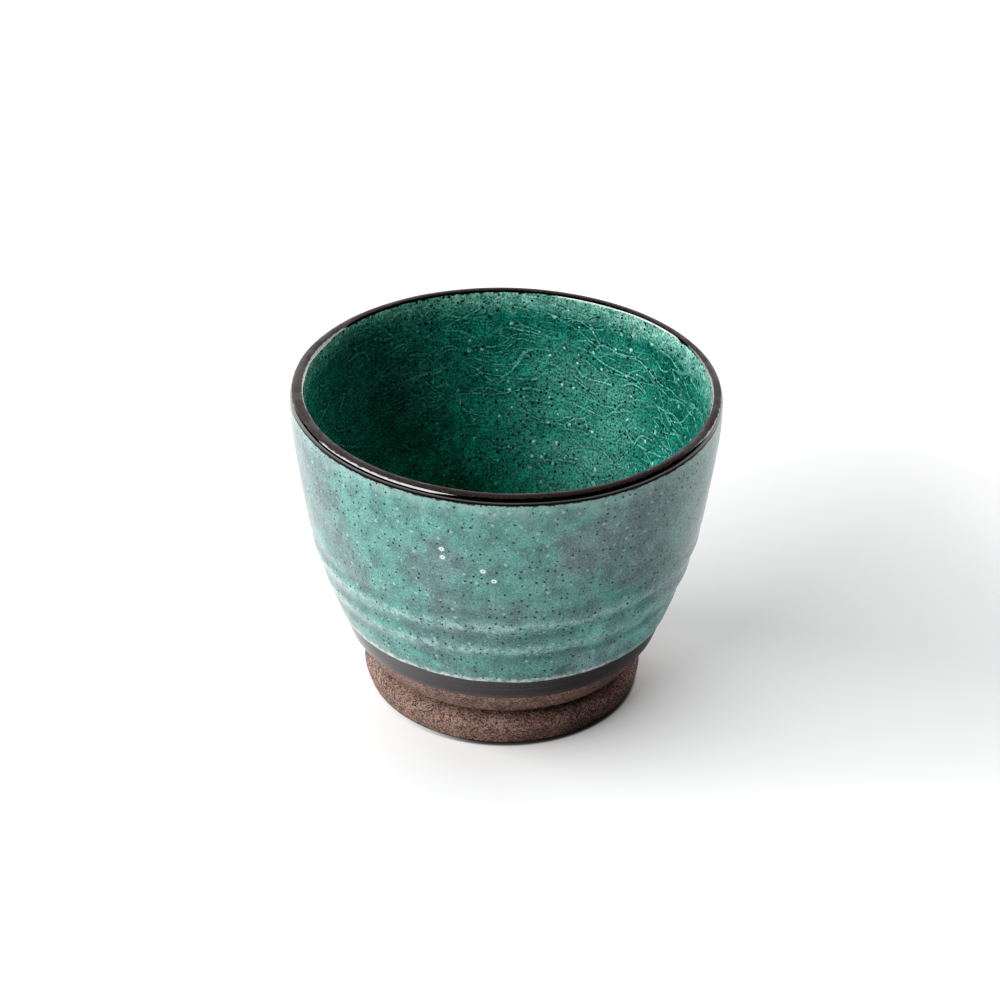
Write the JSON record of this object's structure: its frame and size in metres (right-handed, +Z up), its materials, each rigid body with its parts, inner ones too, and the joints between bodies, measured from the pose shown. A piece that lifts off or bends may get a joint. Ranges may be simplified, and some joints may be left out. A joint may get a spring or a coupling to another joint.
{
  "type": "sake cup",
  "caption": "Hand-thrown stoneware sake cup with green crackle glaze, dark dressed lip, dark iron slip band above bare clay, and a turned foot ring it stands on.",
  "frame": {"origin": "on the table under the cup, at the centre of the foot ring's standing face", "axes": "+Z up along the cup's axis of turning, -Y towards the viewer of the picture, +X to the viewer's right"},
  "size_m": [0.068, 0.068, 0.054],
  "materials": {
    "bare_clay": "unglazed fired stoneware, sandy",
    "foot_clay": "unglazed fired stoneware, coarse sand",
    "joint_slip": "dry clay slip",
    "iron_slip": "satin dark iron slip",
    "green_glaze": "glossy mottled green glaze with dark specks",
    "pooled_glaze": "glossy deep green crackle glaze",
    "dark_dressing": "glossy near-black iron dressing"
  },
  "bodies": {
    "root": {"stoneware_bowl": "bare_clay", "foot_ring": "foot_clay", "luting_slip": "joint_slip", "iron_band": "iron_slip", "outer_glaze": "green_glaze", "inner_glaze": "pooled_glaze", "lip_dressing": "dark_dressing"}
  },
  "joints": []
}
